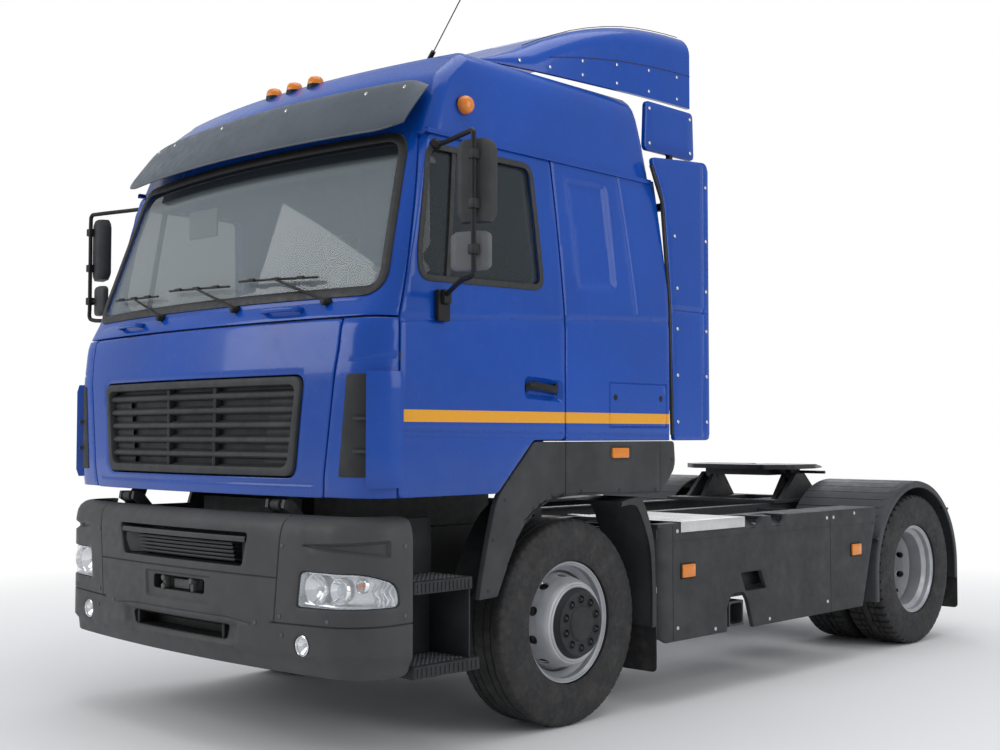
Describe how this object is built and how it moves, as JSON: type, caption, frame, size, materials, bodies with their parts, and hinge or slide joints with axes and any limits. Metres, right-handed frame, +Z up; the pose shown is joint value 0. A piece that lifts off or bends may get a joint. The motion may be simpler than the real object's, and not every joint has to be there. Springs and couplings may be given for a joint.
{
  "type": "semi truck tractor unit",
  "caption": "Blue high-roof cab-over tractor unit with tilting cab, opening doors and front flap, steered front wheels, twin rear wheels, side skirts and a rocking trailer coupling.",
  "frame": {"origin": "on the ground, under the middle of the whole outline", "axes": "-Y is the front of the truck, +X its left side, +Z up"},
  "size_m": [3.2772, 5.729, 3.704],
  "materials": {
    "aluminium": "tread plate and brushed",
    "cast_grey": "rough",
    "chassis_black": "satin",
    "glass": "clear",
    "interior_grey": "soft",
    "lamp_amber": "amber lens",
    "lamp_clear": "clear lens",
    "paint_blue": "gloss",
    "plastic_grey": "grained",
    "rim_silver": "satin",
    "rubber_black": "matte",
    "seat_fabric": "woven",
    "tyre": "moulded",
    "visor_grey": "satin"
  },
  "bodies": {
    "chassis": {"frame": "chassis_black", "front_bumper": "plastic_grey", "chassis_lamps": "lamp_clear", "engine_block": "cast_grey", "propeller_shaft": "chassis_black", "front_axle_beam": "chassis_black", "suspension": "chassis_black", "rear_axle": "chassis_black", "tanks": "aluminium", "battery_box": "plastic_grey", "exhaust_silencer": "cast_grey", "side_skirts": "plastic_grey", "cab_steps": "plastic_grey", "catwalk": "aluminium", "front_mudguards": "plastic_grey", "rear_fenders": "plastic_grey", "coupling_base": "chassis_black", "cab_mounts": "chassis_black"},
    "cab": {"cab_floor": "interior_grey", "windscreen_frame": "paint_blue", "corner_panels": "paint_blue", "door_hinges": "chassis_black", "cab_side_walls": "paint_blue", "cab_rear_wall": "paint_blue", "cab_roof": "paint_blue", "windscreen": "glass", "sun_visor": "visor_grey", "roof_fairing": "paint_blue", "side_fairings": "paint_blue", "cab_fenders": "plastic_grey", "wipers": "rubber_black", "dashboard": "interior_grey", "seats": "seat_fabric", "bunk": "seat_fabric", "roof_lamps": "lamp_amber", "antenna": "rubber_black"},
    "front_flap": {"front_flap": "paint_blue", "grille": "plastic_grey"},
    "door_left": {"left_door": "paint_blue", "left_window": "glass", "left_mirror": "plastic_grey"},
    "door_right": {"right_door": "paint_blue", "right_window": "glass", "right_mirror": "plastic_grey"},
    "knuckle_left": {"knuckle_left": "chassis_black"},
    "knuckle_right": {"knuckle_right": "chassis_black"},
    "tie_rod": {"tie_rod": "chassis_black"},
    "wheel_front_left": {"tyre_front_left": "tyre", "rim_front_left": "rim_silver"},
    "wheel_front_right": {"tyre_front_right": "tyre", "rim_front_right": "rim_silver"},
    "wheels_rear_left": {"tyres_rear_left": "tyre", "rims_rear_left": "rim_silver"},
    "wheels_rear_right": {"tyres_rear_right": "tyre", "rims_rear_right": "rim_silver"},
    "coupling_plate": {"coupling_plate": "chassis_black"}
  },
  "joints": [
    {"name": "cab_tilt", "type": "hinge", "parent": "chassis", "child": "cab", "pos_m": [0, -2.7405, 1.118], "axis": [1, 0, 0], "range_deg": [0, 50]},
    {"name": "front_flap_hinge", "type": "hinge", "parent": "cab", "child": "front_flap", "pos_m": [0, -2.7825, 1.932], "axis": [-1, 0, 0], "range_deg": [0, 75]},
    {"name": "left_door_hinge", "type": "hinge", "parent": "cab", "child": "door_left", "pos_m": [1.245, -2.5675, 1.6], "axis": [0, 0, -1], "range_deg": [0, 75]},
    {"name": "right_door_hinge", "type": "hinge", "parent": "cab", "child": "door_right", "pos_m": [-1.245, -2.5675, 1.6], "axis": [0, 0, 1], "range_deg": [0, 75]},
    {"name": "steer_left", "type": "hinge", "parent": "chassis", "child": "knuckle_left", "pos_m": [0.87, -1.3705, 0.507], "axis": [0, 0, 1], "range_deg": [-42, 42]},
    {"name": "steer_right", "type": "hinge", "parent": "chassis", "child": "knuckle_right", "pos_m": [-0.87, -1.3705, 0.507], "axis": [0, 0, 1], "range_deg": [-42, 42]},
    {"name": "tie_rod_pin", "type": "hinge", "parent": "knuckle_left", "child": "tie_rod", "pos_m": [0.87, -1.1455, 0.42], "axis": [0, 0, 1], "range_deg": [-42, 42]},
    {"name": "spin_front_left", "type": "hinge", "parent": "knuckle_left", "child": "wheel_front_left", "pos_m": [1.035, -1.3705, 0.507], "axis": [1, 0, 0], "continuous": true},
    {"name": "spin_front_right", "type": "hinge", "parent": "knuckle_right", "child": "wheel_front_right", "pos_m": [-1.035, -1.3705, 0.507], "axis": [1, 0, 0], "continuous": true},
    {"name": "spin_rear_left", "type": "hinge", "parent": "chassis", "child": "wheels_rear_left", "pos_m": [0.891, 2.2295, 0.507], "axis": [1, 0, 0], "continuous": true},
    {"name": "spin_rear_right", "type": "hinge", "parent": "chassis", "child": "wheels_rear_right", "pos_m": [-0.891, 2.2295, 0.507], "axis": [1, 0, 0], "continuous": true},
    {"name": "coupling_rock", "type": "hinge", "parent": "chassis", "child": "coupling_plate", "pos_m": [0, 2.0695, 1.12], "axis": [1, 0, 0], "range_deg": [-12, 12]}
  ],
  "couplings": [
    {"joint": "steer_right", "follows": "steer_left", "ratio": 1},
    {"joint": "tie_rod_pin", "follows": "steer_left", "ratio": -1}
  ]
}
